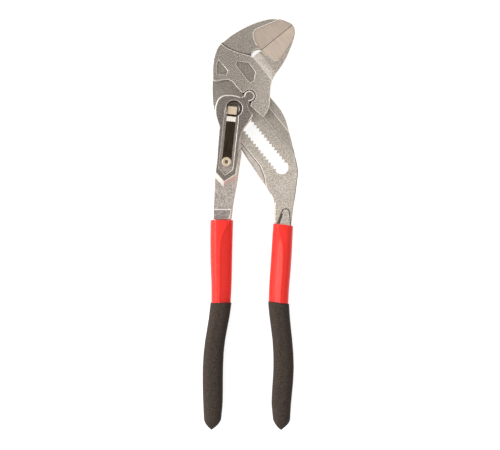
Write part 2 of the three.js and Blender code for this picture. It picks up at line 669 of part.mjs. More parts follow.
function leverLeg() {
  const plates = onBothSides(leverPlateOutline(), CHEEK_FLOOR, TOTAL_THICKNESS, EDGE_BEVEL);
  const [edgeFoot, edgeTop] = corners(xy, SHANK_EDGE);
  const body = cut(
    prism(leverBodyOutline(), TOTAL_THICKNESS - LEVER_TOP, LEVER_TOP, EDGE_BEVEL),
    ...edgeSlopes(edgeFoot, edgeTop, SHANK_BEVEL_WIDTH, SHANK_BEVEL_DROP, LEVER_TOP),
    ...onBothSides(panelOutline(), CORE_FRONT, TOTAL_THICKNESS),
  );
  const foot = new THREE.ExtrudeGeometry(new THREE.Shape(corners(xy, [...LEVER_FOOT, ...FOOT_BASE])), {
    depth: LEVER_STEP, bevelThickness: LEVER_STEP, bevelSize: LEVER_STEP, bevelSegments: 1,
  });
  const within = prism(leverBodyOutline(), 0, TOTAL_THICKNESS);
  const footAt = (z) => solidOf(foot.clone().translate(0, 0, z)).intersect(within);
  const feet = [footAt(TOTAL_THICKNESS - 2 * LEVER_STEP), footAt(LEVER_STEP)];
  const crotch = prism(uvBox(CROTCH_U, BEYOND, -BEYOND, BEYOND), CHEEK_THICKNESS, CHEEK_FLOOR);
  const bore = rod(BORE_RADIUS, -1, TOTAL_THICKNESS + 1);
  const dishRadius = BORE_RADIUS + DISH_WIDTH;
  const dish = turned([
    [0, -DISH_DEPTH], [dishRadius, -DISH_DEPTH], [dishRadius, 0], [BORE_RADIUS, DISH_DEPTH], [0, DISH_DEPTH],
  ]);
  const channel = prism([
    channelPoint(-CHANNEL_HALF_WIDTH, 0), channelPoint(-CHANNEL_HALF_WIDTH, CHANNEL_LENGTH),
    channelPoint(0, CHANNEL_LENGTH + CHANNEL_POINT), channelPoint(CHANNEL_HALF_WIDTH, CHANNEL_LENGTH),
    channelPoint(CHANNEL_HALF_WIDTH, 0),
  ], CHANNEL_FLOOR, TOTAL_THICKNESS + CHANNEL_DEPTH);
  const throatHalf = SPRING_HALF_WIDTH + RUNNING_GAP;
  const throatEnd = PAD_END + SPRING_THICKNESS;
  const throat = prism([
    channelPoint(-throatHalf, 0), channelPoint(-throatHalf, throatEnd),
    channelPoint(throatHalf, throatEnd), channelPoint(throatHalf, 0),
  ], BOLT_TOP, TOTAL_THICKNESS);
  const screwAt = channelPoint(0, SCREW_DISTANCE);
  const holeRadius = SCREW_SHANK_RADIUS + RUNNING_GAP;
  const screwHole = rod(holeRadius, screwBottom - RUNNING_GAP, TOTAL_THICKNESS, screwAt, 20);
  const whole = union(plates[0], plates[1], body, ...feet, core(LEFT));
  return meshOf('lever_leg', cut(whole, crotch, bore, dish, channel, throat, screwHole), plateSteel);
}

// Bush, bolt and button on the bolt axis
function pivotBush() {
  const tube = cut(rod(BUSH_RADIUS, BUTTON_RECESS, BOLT_TOP), rod(BUSH_BORE, 0, TOTAL_THICKNESS));
  const flatBottom = CHEEK_THICKNESS;
  const flats = [1, -1].map((side) => {
    const flatU = BOLT_AXIS_U + side * BOLT_RADIUS;
    return prism(uvBox(flatU, side * BEYOND, -BEYOND, BEYOND), flatBottom, CHEEK_FLOOR);
  });
  return meshOf('pivot_bush', cut(tube, ...flats), steel);
}

const buttonTop = BUTTON_RECESS + BUTTON_LENGTH;
const boltBottom = buttonTop + RUNNING_GAP;

function lockingBolt() {
  const pin = union(
    rod(BOLT_RADIUS, boltBottom, BOLT_TOP),
    rod(SPIGOT_RADIUS, boltBottom - SPIGOT_LENGTH, boltBottom + 1, boltAxis, 20),
  );
  const notches = [];
  for (const side of [1, -1]) {
    const floor = BOLT_AXIS_U + side * (BOLT_RADIUS - NOTCH_DEPTH);
    const mouth = BOLT_AXIS_U + side * (BOLT_RADIUS + NOTCH_DEPTH);
    const mouthHalf = TOOTH_PITCH * 0.45;
    for (const v of [-TOOTH_PITCH / 2, TOOTH_PITCH / 2]) {
      const wedge = corners(uv, [[floor, v], [mouth, v - mouthHalf], [mouth, v + mouthHalf]]);
      notches.push(prism(wedge, WEB_TOP - NOTCH_LENGTH, WEB_TOP));
    }
  }
  return meshOf('locking_bolt', cut(pin, ...notches), darkSteel);
}

function pushButton() {
  const dome = [
    [0, BUTTON_RECESS], [BOLT_RADIUS * 0.55, BUTTON_RECESS + 0.1], [BOLT_RADIUS * 0.9, BUTTON_RECESS + 0.4],
    [BOLT_RADIUS, BUTTON_RECESS + 0.8], [BOLT_RADIUS, buttonTop], [0, buttonTop],
  ];
  const seat = rod(SPIGOT_RADIUS + RUNNING_GAP, buttonTop - SPIGOT_LENGTH, buttonTop + 1, boltAxis, 20);
  return meshOf('push_button', cut(turned(dome), seat), darkSteel);
}

// Leaf spring: side profile of (distance down from the datum, height of the upper face)
const padTop = BOLT_TOP + RUNNING_GAP + SPRING_THICKNESS;
const springEnd = SCREW_DISTANCE + SPRING_HALF_WIDTH;
const SPRING_LINE = [
  [PAD_START, padTop], [PAD_END, padTop], [PAD_END + 1.5, springRest + SPRING_HUMP * 0.6],
  [PAD_END + 2.5, springRest + SPRING_HUMP], [PAD_END + 4.5, springRest + SPRING_HUMP * 0.9],
  [SCREW_DISTANCE - FLAT_LENGTH, springRest], [springEnd, springRest],
];

function leafSpring() {
  const underside = SPRING_LINE.map(([down, z]) => [down, z - SPRING_THICKNESS]).reverse();
  const shape = new THREE.Shape(corners(xy, [...SPRING_LINE, ...underside]));
  const geometry = new THREE.ExtrudeGeometry(shape, { depth: 2 * SPRING_HALF_WIDTH, bevelEnabled: false });
  const origin = channelPoint(0, 0);
  const down = channelPoint(0, 1).sub(origin);
  const across = channelPoint(1, 0).sub(origin);
  const frame = new THREE.Matrix4().makeBasis(
    new THREE.Vector3(down.x, down.y, 0),
    new THREE.Vector3(0, 0, 1),
    new THREE.Vector3(-across.x, -across.y, 0),
  );
  const corner = channelPoint(SPRING_HALF_WIDTH, 0);
  frame.setPosition(corner.x, corner.y, 0);
  const screwAt = channelPoint(0, SCREW_DISTANCE);
  const straight = prism([
    channelPoint(-CHANNEL_HALF_WIDTH, -BEYOND), channelPoint(-CHANNEL_HALF_WIDTH, SCREW_DISTANCE),
    channelPoint(CHANNEL_HALF_WIDTH, SCREW_DISTANCE), channelPoint(CHANNEL_HALF_WIDTH, -BEYOND),
  ], 0, TOTAL_THICKNESS);
  const roundEnd = rod(SPRING_HALF_WIDTH, 0, TOTAL_THICKNESS, screwAt, 24);
  const strip = solidOf(geometry.applyMatrix4(frame)).intersect(union(straight, roundEnd));
  const hole = rod(SCREW_SHANK_RADIUS + 2 * RUNNING_GAP, 0, TOTAL_THICKNESS, screwAt, 20);
  return meshOf('leaf_spring', cut(strip, hole), springSteel);
}

function springScrew() {
  const headTop = screwHeadBottom + SCREW_HEAD_HEIGHT;
  const socketFloor = headTop - SOCKET_DEPTH;
  const profile = [
    [0, screwBottom], [SCREW_SHANK_RADIUS, screwBottom], [SCREW_SHANK_RADIUS, screwHeadBottom],
    [SCREW_HEAD_RADIUS, screwHeadBottom], [SCREW_HEAD_RADIUS, headTop - SCREW_HEAD_BEVEL],
    [SCREW_HEAD_RADIUS - SCREW_HEAD_BEVEL, headTop], [SOCKET_RADIUS, headTop],
    [SOCKET_RADIUS, socketFloor], [0, socketFloor],
  ];
  return meshOf('spring_screw', turned(profile, channelPoint(0, SCREW_DISTANCE), 24), screwSteel);
}

// Assembly, moved so that the origin is under the middle of the whole part
const pliers = new THREE.Group();
pliers.add(
  fixedJawLeg(),
  slidingJaw(),
  leverLeg(),
  pivotBush(),
  lockingBolt(),
  pushButton(),
  leafSpring(),
  springScrew(),
  innerGrip('left_inner_grip', LEFT),
  outerGrip('left_outer_grip', LEFT),
  innerGrip('right_inner_grip', RIGHT),
  outerGrip('right_outer_grip', RIGHT),
);
const box = new THREE.Box3().setFromObject(pliers);
const middle = box.getCenter(new THREE.Vector3());
pliers.position.set(-middle.x, -middle.y, -box.min.z);

export default pliers;
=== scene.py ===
import json
import math

import bmesh
import bpy
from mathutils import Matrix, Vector


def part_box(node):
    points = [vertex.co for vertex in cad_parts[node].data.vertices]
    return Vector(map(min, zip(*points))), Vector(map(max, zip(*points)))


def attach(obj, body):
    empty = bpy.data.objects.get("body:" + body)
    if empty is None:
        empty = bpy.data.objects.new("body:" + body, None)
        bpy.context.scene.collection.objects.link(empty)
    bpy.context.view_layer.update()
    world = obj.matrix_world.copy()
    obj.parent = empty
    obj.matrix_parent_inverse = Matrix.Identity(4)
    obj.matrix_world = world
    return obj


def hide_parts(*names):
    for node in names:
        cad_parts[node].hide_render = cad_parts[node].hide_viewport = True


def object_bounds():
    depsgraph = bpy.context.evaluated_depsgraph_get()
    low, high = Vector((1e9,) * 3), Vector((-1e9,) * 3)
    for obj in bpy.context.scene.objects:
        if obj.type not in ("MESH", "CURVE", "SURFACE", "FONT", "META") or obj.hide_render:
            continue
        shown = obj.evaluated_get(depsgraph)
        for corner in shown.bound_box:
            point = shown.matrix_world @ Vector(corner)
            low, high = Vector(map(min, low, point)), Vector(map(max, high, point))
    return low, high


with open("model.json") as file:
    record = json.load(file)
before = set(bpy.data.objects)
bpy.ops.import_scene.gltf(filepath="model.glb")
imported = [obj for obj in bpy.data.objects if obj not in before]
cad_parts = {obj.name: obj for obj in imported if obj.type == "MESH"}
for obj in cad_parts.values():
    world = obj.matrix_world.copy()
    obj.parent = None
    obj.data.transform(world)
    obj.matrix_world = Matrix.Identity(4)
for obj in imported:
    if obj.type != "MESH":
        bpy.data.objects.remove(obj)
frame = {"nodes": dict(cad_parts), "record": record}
cad_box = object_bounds()
nodes = frame["nodes"]
joints = {joint["name"]: joint for joint in frame["record"]["behaviour"]["joints"]}

MM = 0.001
UP = Vector((0.0, 0.0, 1.0))
CAD_LOW, CAD_HIGH = cad_box

# View: width of the picture at the middle of the part, its centre, and a long lens straight above it
VIEW_WIDTH = 304.1 * MM
VIEW_CENTRE = (-0.14 * MM, -0.31 * MM)
LENS = 180.0
SENSOR = 36.0

# Directions and places that the joints give
SLIDE_AXIS = joints["jaw_slide"]["axis"]
FLEX_AXIS = joints["leaf_flex"]["axis"]
PIVOT = Vector(joints["lever_hinge"]["pos_m"])
OPENING = Vector(SLIDE_AXIS)
ALONG_JAW = Vector((-OPENING.y, OPENING.x, 0.0))
JAW_TURN = math.atan2(SLIDE_AXIS[1], SLIDE_AXIS[0])
SPRING_LEAN = math.atan2(-FLEX_AXIS[1], FLEX_AXIS[0])
SPRING_DOWN = Vector((-math.sin(SPRING_LEAN), -math.cos(SPRING_LEAN), 0.0))

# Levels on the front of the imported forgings, above the floor; the rear mirrors them
FULL_THICKNESS = 15.0 * MM
MID_Z = FULL_THICKNESS / 2
PLATE_TOP = FULL_THICKNESS
POCKET_FLOOR = 13.8 * MM
JAW_TOP = 13.2 * MM
LEVER_SKIN_ABOVE = 12.8 * MM
SHANK_LEVEL = 12.7 * MM
GROUND_TOP = 12.3 * MM
PANEL_LEVEL = 12.25 * MM
WEB_TOP = 10.5 * MM
GROOVE_FLOOR = 9.5 * MM
FLANGE_TOP = 9.2 * MM
LEVEL_TOLERANCE = 0.04 * MM

# Kinds of face, by the upright part of the normal
FLAT = 0.99
SHADED_FLAT = 0.995
SLOPE_RANGE = (0.25, 0.93)
RIM_WALL = 0.35

# Ways a wall or slope can turn, by one part of its normal
SQUARE_ON = 0.99
TURNED_LEFT = -0.5
TURNED_RIGHT = 0.3
TURNED_DOWN = -0.9
SLOPED_RIGHT = 0.1

# Places on the forgings: the rib and the cove from the pivot along the jaw, the rest in the part's frame
RIB_START = 12.0 * MM
COVE_START = 28.15 * MM
COVE_EDGE = 29.3 * MM
COVE_END = 34.3 * MM
BOSS_HEIGHT = 12.0 * MM
BOSS_LEFT = 16.2 * MM
RIGHT_EDGE_LEFT = 24.0 * MM
RIGHT_EDGE_RUN = (14.0 * MM, 46.0 * MM)

# Broken edges of the forgings, and bands cut into their flats that carry painted highlight lines and
# painted shade lines
RIM_WIDTH = 0.32 * MM
RIM_SEGMENTS = 2
HIGHLIGHT_BAND_WIDTH = 0.6 * MM
SHADED_WIDTH = 0.4 * MM
CUT_TOLERANCE = 0.001 * MM
WELD_DISTANCE = 0.001 * MM
JOIN_ANGLE = math.radians(0.3)
SMOOTH_ANGLE = math.radians(32.0)

# Leaf spring: its bends, and the runs of its pad and hump from the pivot
BEND_RADIUS = 0.55 * MM
BEND_SEGMENTS = 5
BEND_RANGE = (math.radians(4.0), math.radians(70.0))
SPRING_SHARP = math.radians(20.0)
PAD_RUN = 3.6 * MM
HUMP_RUN = (5.0 * MM, 8.3 * MM)

# Screw
SCREW_SIDES = 72
SCREW_SHARP = math.radians(40.0)
SHANK_SHARE = 0.45
HEAD_HEIGHT = 1.3 * MM
HEAD_ROUND = 0.5 * MM
HEAD_STEPS = 5
SOCKET_FLAT = 1.1 * MM
SOCKET_DEPTH = 0.9 * MM
SOCKET_SIDE = math.pi / 3
DISH_SHARE = 1.45
DISH_DEPTH = 0.05 * MM
CHAMFER_SHARE = 1.02
CHAMFER_DEPTH = 0.22 * MM
# reach and depth of the painted shade inside the socket
SOCKET_SHADE_SHARE = 1.16
SOCKET_SHADE_DEPTH = 1.0 * MM

# Grips: sections, rounded mouths and pointed tips
GRIP_SIDES = 96
GRIP_DEPTH = 15.0 * MM
RED_DEPTH = 14.1 * MM
GRIP_POWER = 2.7
GRIP_LAP = 4.0 * MM
LIP_RADIUS = 0.6 * MM
MOUTH_SLOPE = -0.106
MOUTH_MARGIN = 0.1 * MM
TUCK = 1.5 * MM
TIP_LENGTH = 7.8 * MM
TIP_MARGIN = 0.02 * MM
LAP_MARGIN = 2.0 * MM
LEAST_RISE = 1e-9

# Grips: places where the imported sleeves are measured, and steps of the skins through them
RED_STATIONS = 8
BLACK_STATIONS = 16
TIP_STATIONS = 6
LIP_STEPS = 5
RED_STEPS = 70
BLACK_STEPS = 80
TIP_STEPS = 14

# Grips: flattened inner half of the red sleeves, with a beaded ridge that runs out near the mouth
FACET_DEPTH = 0.34
FACET_SOFTNESS = 0.0008
FACET_RUN_OUT = 5.5 * MM
FACET_RIDGE = -0.17
RIDGE_SWEEP = 1.22
BEAD_RISE = 0.034
BEAD_WIDTH = 0.07

# Stage and light; each stop of the sky is a place from 0 to 1 and a level
FLOOR_HALF = 3.0
FLOOR_DROP = 0.2 * MM
FLOOR_COLOUR = (0.5, 0.5, 0.5, 1.0)
FLOOR_ROUGHNESS = 0.9
FLOOR_GLOW = 0.78
WHITE = (1.0, 1.0, 1.0, 1.0)
SKY_RISE = [(0.0, 1.0), (0.6, 1.0), (0.85, 0.7), (1.0, 0.5)]
SKY_ACROSS = [(0.0, 1.0), (0.5, 1.0), (0.95, 0.45)]
SKY_STRENGTH = 1.05

# Lamps: name, place and size in metres, power in watts, and whether gloss shows them
LAMPS = [
    ("key_lamp", (-0.85, 0.1, 0.75), 0.5, 3.6, True),
    ("side_lamp", (-1.2, -0.15, 0.35), 0.9, 14.0, False),
    ("fill_lamp", (0.9, 0.3, 0.7), 0.7, 1.5, True),
]

# Noise of the materials: scale per metre, detail and roughness
BLAST_GRAIN = (1600.0, 2.0, 0.5)
BLAST_BLOTCH = (170.0, 3.0, 0.55)
# mottle of the painted highlight on edges
HIGHLIGHT_MOTTLE = (700.0, 3.0, 0.55)
GROUND_LINES = (2400.0, 4.0, 0.6)
GROUND_BROAD = (260.0, 2.0, 0.55)
ROLLED_LINES = (2600.0, 3.0, 0.55)
DIPPED_PEEL = (260.0, 2.0, 0.55)
DIPPED_TONE = (150.0, 2.0, 0.55)
MOULDED_GRAIN = (1500.0, 4.0, 0.65)
MOULDED_CELLS = 1500.0

# How far a noise is drawn out, and the turn that draws it out along the tool
UPRIGHT = math.pi / 2
GROUND_LINE_LENGTH = 16.0
GROUND_BROAD_LENGTH = 4.0
ROLLED_LENGTH = 12.0
DIPPED_LENGTH = 4.0

# Spans of noise over which tones change, and the tones at their ends as shares of the colour
NOISE_SPAN = (0.3, 0.7)
BLAST_SPAN = (0.38, 0.62)
HIGHLIGHT_SPAN = (0.25, 0.65)
MOULDED_SPAN = (0.34, 0.66)
BLOTCH_TINTS = ((0.93, 0.925, 0.92), (1.03, 1.03, 1.03))
GROUND_TINTS = ((0.96, 0.94, 0.92), (1.0, 1.0, 1.0))
GROUND_TONES = (0.91, 1.07)
HIGHLIGHT_LOW_TONE = 0.82
STREAK_TONE = 0.86
DARK_STREAK_TONE = 0.4
DIPPED_TONE_LOW = 0.92
MOULDED_TONES = (0.6, 1.5)

# Roughness of the materials, least and greatest; a rolled one changes the roughness it is given
BLAST_ROUGHNESS = (0.38, 0.52)
EDGE_ROUGHNESS = (0.44, 0.58)
GROUND_ROUGHNESS = (0.36, 0.5)
ROLLED_CHANGE = (-0.04, 0.08)
DIPPED_ROUGHNESS = (0.24, 0.32)
MOULDED_ROUGHNESS = (0.5, 0.66)

# Gloss of the plastics
DIPPED_SPECULAR = 0.08
DIPPED_COAT = 0.14
DIPPED_COAT_ROUGHNESS = 0.06
MOULDED_SPECULAR = 0.02

# Bump of the materials: strength and depth
BLAST_BUMP = (0.3, 0.12 * MM)
GROUND_BUMP = (0.08, 0.04 * MM)
ROLLED_BUMP = (0.05, 0.04 * MM)
DIPPED_BUMP = (0.03, 0.1 * MM)
MOULDED_BUMP = (0.5, 0.3 * MM)

# Painted shade of the forgings, as places in metres and levels: darker up the leg towards the head, where
# the plates overhang it, and darker across the plate to its left
LEG_PAINTED_SHADE = [(-0.005, 1.0), (0.035, 1.0), (0.062, 0.77), (0.082, 0.52), (0.1, 0.57), (0.125, 0.61)]
PLATE_PAINTED_SHADE = [(-0.025, 0.66), (-0.004, 0.72), (0.012, 1.0)]


# Node helpers
def new_material(name):
    material = bpy.data.materials.new(name)
    material.use_nodes = True
    tree = material.node_tree
    return material, tree, tree.nodes["Principled BSDF"]


def place(tree):
    """Object coordinates, in metres."""
    return tree.nodes.new("ShaderNodeTexCoord").outputs["Object"]


def stretched(tree, vector, length, turn):
    """Coordinates drawn out along one direction in the plane of the tool."""
    mapping = tree.nodes.new("ShaderNodeMapping")
    mapping.vector_type = "TEXTURE"
    mapping.inputs["Rotation"].default_value = (0.0, 0.0, turn)
    mapping.inputs["Scale"].default_value = (length, 1.0, 1.0)
    tree.links.new(vector, mapping.inputs["Vector"])
    return mapping.outputs["Vector"]


def noise(tree, vector, pattern):
    node = tree.nodes.new("ShaderNodeTexNoise")
    for name, value in zip(("Scale", "Detail", "Roughness"), pattern):
        node.inputs[name].default_value = value
    tree.links.new(vector, node.inputs["Vector"])
    return node.outputs["Fac"]


def ramp(tree, value, stops):
    node = tree.nodes.new("ShaderNodeValToRGB")
    points = node.color_ramp.elements
    while len(points) < len(stops):
        points.new(0.5)
    for point, (position, colour) in zip(points, stops):
        point.position = position
        point.color = (*colour, 1.0)
    tree.links.new(value, node.inputs["Fac"])
    return node.outputs["Color"]


def two_tone(tree, value, span, low, high):
    return ramp(tree, value, [(span[0], low), (span[1], high)])


def remap(tree, value, source, target):
    node = tree.nodes.new("ShaderNodeMapRange")
    node.inputs["From Min"].default_value = source[0]
    node.inputs["From Max"].default_value = source[1]
    node.inputs["To Min"].default_value = target[0]
    node.inputs["To Max"].default_value = target[1]
    tree.links.new(value, node.inputs["Value"])
    return node.outputs["Result"]


def roughen(tree, shader, value, limits):
    """Let the roughness follow a noise between two limits."""
    tree.links.new(remap(tree, value, NOISE_SPAN, limits), shader.inputs["Roughness"])


def multiply(tree, a, b):
    node = tree.nodes.new("ShaderNodeMix")
    node.data_type = "RGBA"
    node.blend_type = "MULTIPLY"
    node.inputs["Factor"].default_value = 1.0
    tree.links.new(a, node.inputs["A"])
    tree.links.new(b, node.inputs["B"])
    return node.outputs["Result"]


def along(tree, vector, axis):
    node = tree.nodes.new("ShaderNodeSeparateXYZ")
    tree.links.new(vector, node.inputs["Vector"])
    return node.outputs[axis]


def bump(tree, shader, height, strength, depth):
    node = tree.nodes.new("ShaderNodeBump")
    node.inputs["Strength"].default_value = strength
    node.inputs["Distance"].default_value = depth
    tree.links.new(height, node.inputs["Height"])
    tree.links.new(node.outputs["Normal"], shader.inputs["Normal"])


def shade(colour, factor):
    return tuple(min(1.0, channel * factor) for channel in colour)


def grey(level):
    return (level, level, level)


# Materials
def blasted_steel(name, colour, contrast, painted_shade=None, axis="Y"):
    """Forged steel with a fine blasted and plated skin; the given tones darken the colour along one axis
    as painted shade.
    """
    material, tree, shader = new_material(name)
    where = place(tree)
    grain = noise(tree, where, BLAST_GRAIN)
    fine = two_tone(tree, grain, BLAST_SPAN, shade(colour, 1.0 - contrast), shade(colour, 1.0 + contrast))
    broad = two_tone(tree, noise(tree, where, BLAST_BLOTCH), NOISE_SPAN, *BLOTCH_TINTS)
    skin = multiply(tree, fine, broad)
    if painted_shade:
        first, last = painted_shade[0][0], painted_shade[-1][0]
        span = remap(tree, along(tree, where, axis), (first, last), (0.0, 1.0))
        stops = [((at - first) / (last - first), grey(level)) for at, level in painted_shade]
        skin = multiply(tree, skin, ramp(tree, span, stops))
    tree.links.new(skin, shader.inputs["Base Color"])
    roughen(tree, shader, grain, BLAST_ROUGHNESS)
    shader.inputs["Metallic"].default_value = 1.0
    bump(tree, shader, grain, *BLAST_BUMP)
    return material


def highlight_edge(name, colour, metallic):
    """Painted highlight on broken edges, slopes and bands, with a mottled tone; the less metallic it is,
    the paler it stays on a flat.
    """
    material, tree, shader = new_material(name)
    mottle = noise(tree, place(tree), HIGHLIGHT_MOTTLE)
    tint = two_tone(tree, mottle, HIGHLIGHT_SPAN, shade(colour, HIGHLIGHT_LOW_TONE), colour)
    tree.links.new(tint, shader.inputs["Base Color"])
    roughen(tree, shader, mottle, EDGE_ROUGHNESS)
    shader.inputs["Metallic"].default_value = metallic
    return material


def ground_steel(name, colour, turn):
    """Flat ground with fine parallel scratches."""
    material, tree, shader = new_material(name)
    where = place(tree)
    lines = noise(tree, stretched(tree, where, GROUND_LINE_LENGTH, turn), GROUND_LINES)
    broad = noise(tree, stretched(tree, where, GROUND_BROAD_LENGTH, turn), GROUND_BROAD)
    fine = two_tone(tree, lines, NOISE_SPAN, *(shade(colour, tone) for tone in GROUND_TONES))
    warm = two_tone(tree, broad, NOISE_SPAN, *GROUND_TINTS)
    tree.links.new(multiply(tree, fine, warm), shader.inputs["Base Color"])
    roughen(tree, shader, lines, GROUND_ROUGHNESS)
    shader.inputs["Metallic"].default_value = 1.0
    bump(tree, shader, lines, *GROUND_BUMP)
    return material


def polished_steel(name, colour, roughness, streak=STREAK_TONE, metallic=1.0):
    """Rolled and polished strip or turned pin; streak is the tone of its darker lines."""
    material, tree, shader = new_material(name)
    rolled = noise(tree, stretched(tree, place(tree), ROLLED_LENGTH, UPRIGHT), ROLLED_LINES)
    tint = two_tone(tree, rolled, NOISE_SPAN, shade(colour, streak), colour)
    tree.links.new(tint, shader.inputs["Base Color"])
    roughen(tree, shader, rolled, [roughness + change for change in ROLLED_CHANGE])
    shader.inputs["Metallic"].default_value = metallic
    bump(tree, shader, rolled, *ROLLED_BUMP)
    return material


def dipped_plastic(name, colour):
    """Glossy dipped plastic with a faint orange peel."""
    material, tree, shader = new_material(name)
    where = place(tree)
    peel = noise(tree, where, DIPPED_PEEL)
    tone = noise(tree, stretched(tree, where, DIPPED_LENGTH, UPRIGHT), DIPPED_TONE)
    tint = two_tone(tree, tone, NOISE_SPAN, shade(colour, DIPPED_TONE_LOW), colour)
    tree.links.new(tint, shader.inputs["Base Color"])
    roughen(tree, shader, peel, DIPPED_ROUGHNESS)
    shader.inputs["Specular IOR Level"].default_value = DIPPED_SPECULAR
    shader.inputs["Coat Weight"].default_value = DIPPED_COAT
    shader.inputs["Coat Roughness"].default_value = DIPPED_COAT_ROUGHNESS
    bump(tree, shader, peel, *DIPPED_BUMP)
    return material


def grained_plastic(name, colour):
    """Soft matte grip with a fine moulded grain."""
    material, tree, shader = new_material(name)
    where = place(tree)
    cells = tree.nodes.new("ShaderNodeTexVoronoi")
    cells.inputs["Scale"].default_value = MOULDED_CELLS
    tree.links.new(where, cells.inputs["Vector"])
    grain = noise(tree, where, MOULDED_GRAIN)
    tint = two_tone(tree, grain, MOULDED_SPAN, *(shade(colour, tone) for tone in MOULDED_TONES))
    tree.links.new(tint, shader.inputs["Base Color"])
    roughen(tree, shader, grain, MOULDED_ROUGHNESS)
    shader.inputs["Specular IOR Level"].default_value = MOULDED_SPECULAR
    bump(tree, shader, cells.outputs["Distance"], *MOULDED_BUMP)
    return material


# leg, groove and plate steel darken by place as painted shade
leg_steel = blasted_steel("leg_steel", (0.79, 0.708, 0.615), 0.26, LEG_PAINTED_SHADE)
plate_steel = blasted_steel("plate_steel", (0.66, 0.585, 0.51), 0.38, PLATE_PAINTED_SHADE, "X")
# darker steel on the pocket floors: painted shade in the recesses
pocket_floor_shade = blasted_steel("pocket_floor_shade", (0.4, 0.355, 0.305), 0.32)
jaw_steel = blasted_steel("jaw_steel", (0.6, 0.53, 0.46), 0.3)
# lighter steel on the flange and on slopes behind the pivot: painted highlight
flange_highlight_steel = blasted_steel("flange_highlight_steel", (0.84, 0.765, 0.69), 0.18)
# darker steel on the groove floor and the leg's other slopes: painted shade
groove_shade_steel = blasted_steel("groove_shade_steel", (0.7, 0.62, 0.54), 0.22, LEG_PAINTED_SHADE)
shade_line = blasted_steel("shade_line", (0.2, 0.175, 0.15), 0.3)
# darker steel on the lever's right-facing slopes: painted shade
right_slope_shade = blasted_steel("right_slope_shade", (0.76, 0.67, 0.6), 0.2)
# lighter steel in the jaw's cove: painted highlight
cove_highlight_steel = blasted_steel("cove_highlight_steel", (0.82, 0.73, 0.64), 0.2)
# near-black steel on the pocket walls and on the boss's slopes: painted shade
shadow_wall_steel = blasted_steel("shadow_wall_steel", (0.13, 0.115, 0.1), 0.4)
lever_plate = blasted_steel("lever_plate", (0.3, 0.265, 0.235), 0.4)
shank_steel = blasted_steel("shank_steel", (0.66, 0.58, 0.52), 0.32)
panel_steel = blasted_steel("panel_steel", (0.5, 0.43, 0.4), 0.34)
# bright steel on broken edges and on many slopes: painted highlight
edge = highlight_edge("highlight_edge", (0.96, 0.9, 0.83), 1.0)
# pale bands along chosen edges: painted highlight lines
highlight_line = highlight_edge("highlight_line", (0.92, 0.84, 0.76), 0.2)
ground = ground_steel("ground_flat", (0.74, 0.62, 0.52), JAW_TURN)
# brighter copy of the ground steel for the sliding jaw's ground flat: painted light
ground_lit = ground_steel("ground_flat_lit", (0.86, 0.71, 0.59), JAW_TURN)
dark_pin = polished_steel("dark_pin", (0.17, 0.145, 0.115), 0.36)
# the bush is coloured as the dark shadow ring round the bolt: painted shade
bush_shade = polished_steel("bush_shade", (0.13, 0.1, 0.078), 0.36)
bush_steel = polished_steel("bush_steel", (0.34, 0.295, 0.25), 0.34)
# spring strip painted dark as a dark reflection, and its hump given a painted highlight
strip_dark_reflection = polished_steel("strip_dark_reflection", (0.1, 0.072, 0.048), 0.26, DARK_STREAK_TONE)
strip_highlight = polished_steel("strip_highlight", (0.96, 0.89, 0.8), 0.42, metallic=0.4)
strip_gold = polished_steel("strip_gold", (0.93, 0.74, 0.54), 0.42, metallic=0.6)
screw_plating = polished_steel("screw_plating", (0.95, 0.79, 0.58), 0.4)
# dark colour inside the socket: painted shade in the recess
screw_socket_shade = polished_steel("screw_socket_shade", (0.34, 0.25, 0.15), 0.3)
red = dipped_plastic("red_plastic", (0.95, 0.042, 0.031))
black = grained_plastic("black_plastic", (0.052, 0.0395, 0.0328))


# Mesh helpers
def new_piece(name, mesh, materials):
    for material in materials:
        mesh.materials.append(material)
    piece = bpy.data.objects.new(name, mesh)
    bpy.context.scene.collection.objects.link(piece)
    return piece


def fit(piece, body, node):
    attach(piece, body)
    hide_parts(node)


def clean_copy(node, join=True):
    """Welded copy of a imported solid, with its flat faces joined up if that is asked for."""
    work = bmesh.new()
    work.from_mesh(nodes[node].data)
    bmesh.ops.remove_doubles(work, verts=work.verts, dist=WELD_DISTANCE)
    if join:
        bmesh.ops.dissolve_limit(work, angle_limit=JOIN_ANGLE, verts=work.verts, edges=work.edges)
    bmesh.ops.recalc_face_normals(work, faces=work.faces)
    return work


def to_mesh(work, name):
    mesh = bpy.data.meshes.new(name)
    work.to_mesh(mesh)
    work.free()
    return mesh


def finished(work, name):
    """Mesh with flat tops and floors kept flat, and curved walls smooth."""
    bmesh.ops.triangulate(work, faces=work.faces)
    for face in work.faces:
        face.smooth = abs(face.normal.z) < SHADED_FLAT
    for rim in work.edges:
        if len(rim.link_faces) == 2:
            flats = [abs(face.normal.z) > SHADED_FLAT for face in rim.link_faces]
            rim.smooth = flats[0] == flats[1] and rim.calc_face_angle(math.pi) < SMOOTH_ANGLE
    return to_mesh(work, name)


def both_levels(level):
    """A level of the front, and its mirror image at the rear."""
    return level, FULL_THICKNESS - level


def at_level(face, level):
    """Whether a face is a flat at a level of the front or of the rear."""
    height = face.calc_center_median().z
    near = any(abs(height - other) < LEVEL_TOLERANCE for other in both_levels(level))
    return near and abs(face.normal.z) > FLAT


def touches(face, level):
    levels = both_levels(level)
    return any(abs(corner.co.z - height) < LEVEL_TOLERANCE for corner in face.verts for height in levels)


def is_sloped(face):
    return SLOPE_RANGE[0] < abs(face.normal.z) < SLOPE_RANGE[1]


def is_wall(face):
    return abs(face.normal.z) < SLOPE_RANGE[0]


def flat_and_wall(rim):
    """The two faces of an edge, the flatter one first."""
    return sorted(rim.link_faces, key=lambda face: -abs(face.normal.z))


